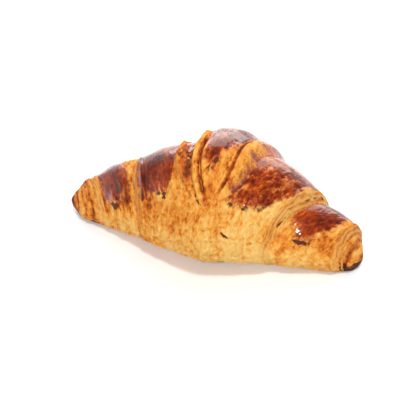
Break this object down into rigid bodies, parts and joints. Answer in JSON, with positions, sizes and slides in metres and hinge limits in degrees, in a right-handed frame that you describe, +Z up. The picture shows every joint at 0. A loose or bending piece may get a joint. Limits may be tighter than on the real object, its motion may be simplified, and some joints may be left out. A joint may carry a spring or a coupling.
{
  "type": "croissant",
  "caption": "Baked butter croissant rolled up from one triangle of laminated dough, slightly bowed, resting on its flattened base.",
  "frame": {"origin": "under the middle of the croissant, on the surface that it rests on", "axes": "+X along the roll towards the nose with the rounder cap, -Y towards the bowed front, where the end of the sheet comes down, +Z up"},
  "size_m": [0.168, 0.077, 0.0695],
  "materials": {
    "crust": null
  },
  "bodies": {
    "root": {"croissant": "crust"}
  },
  "joints": []
}
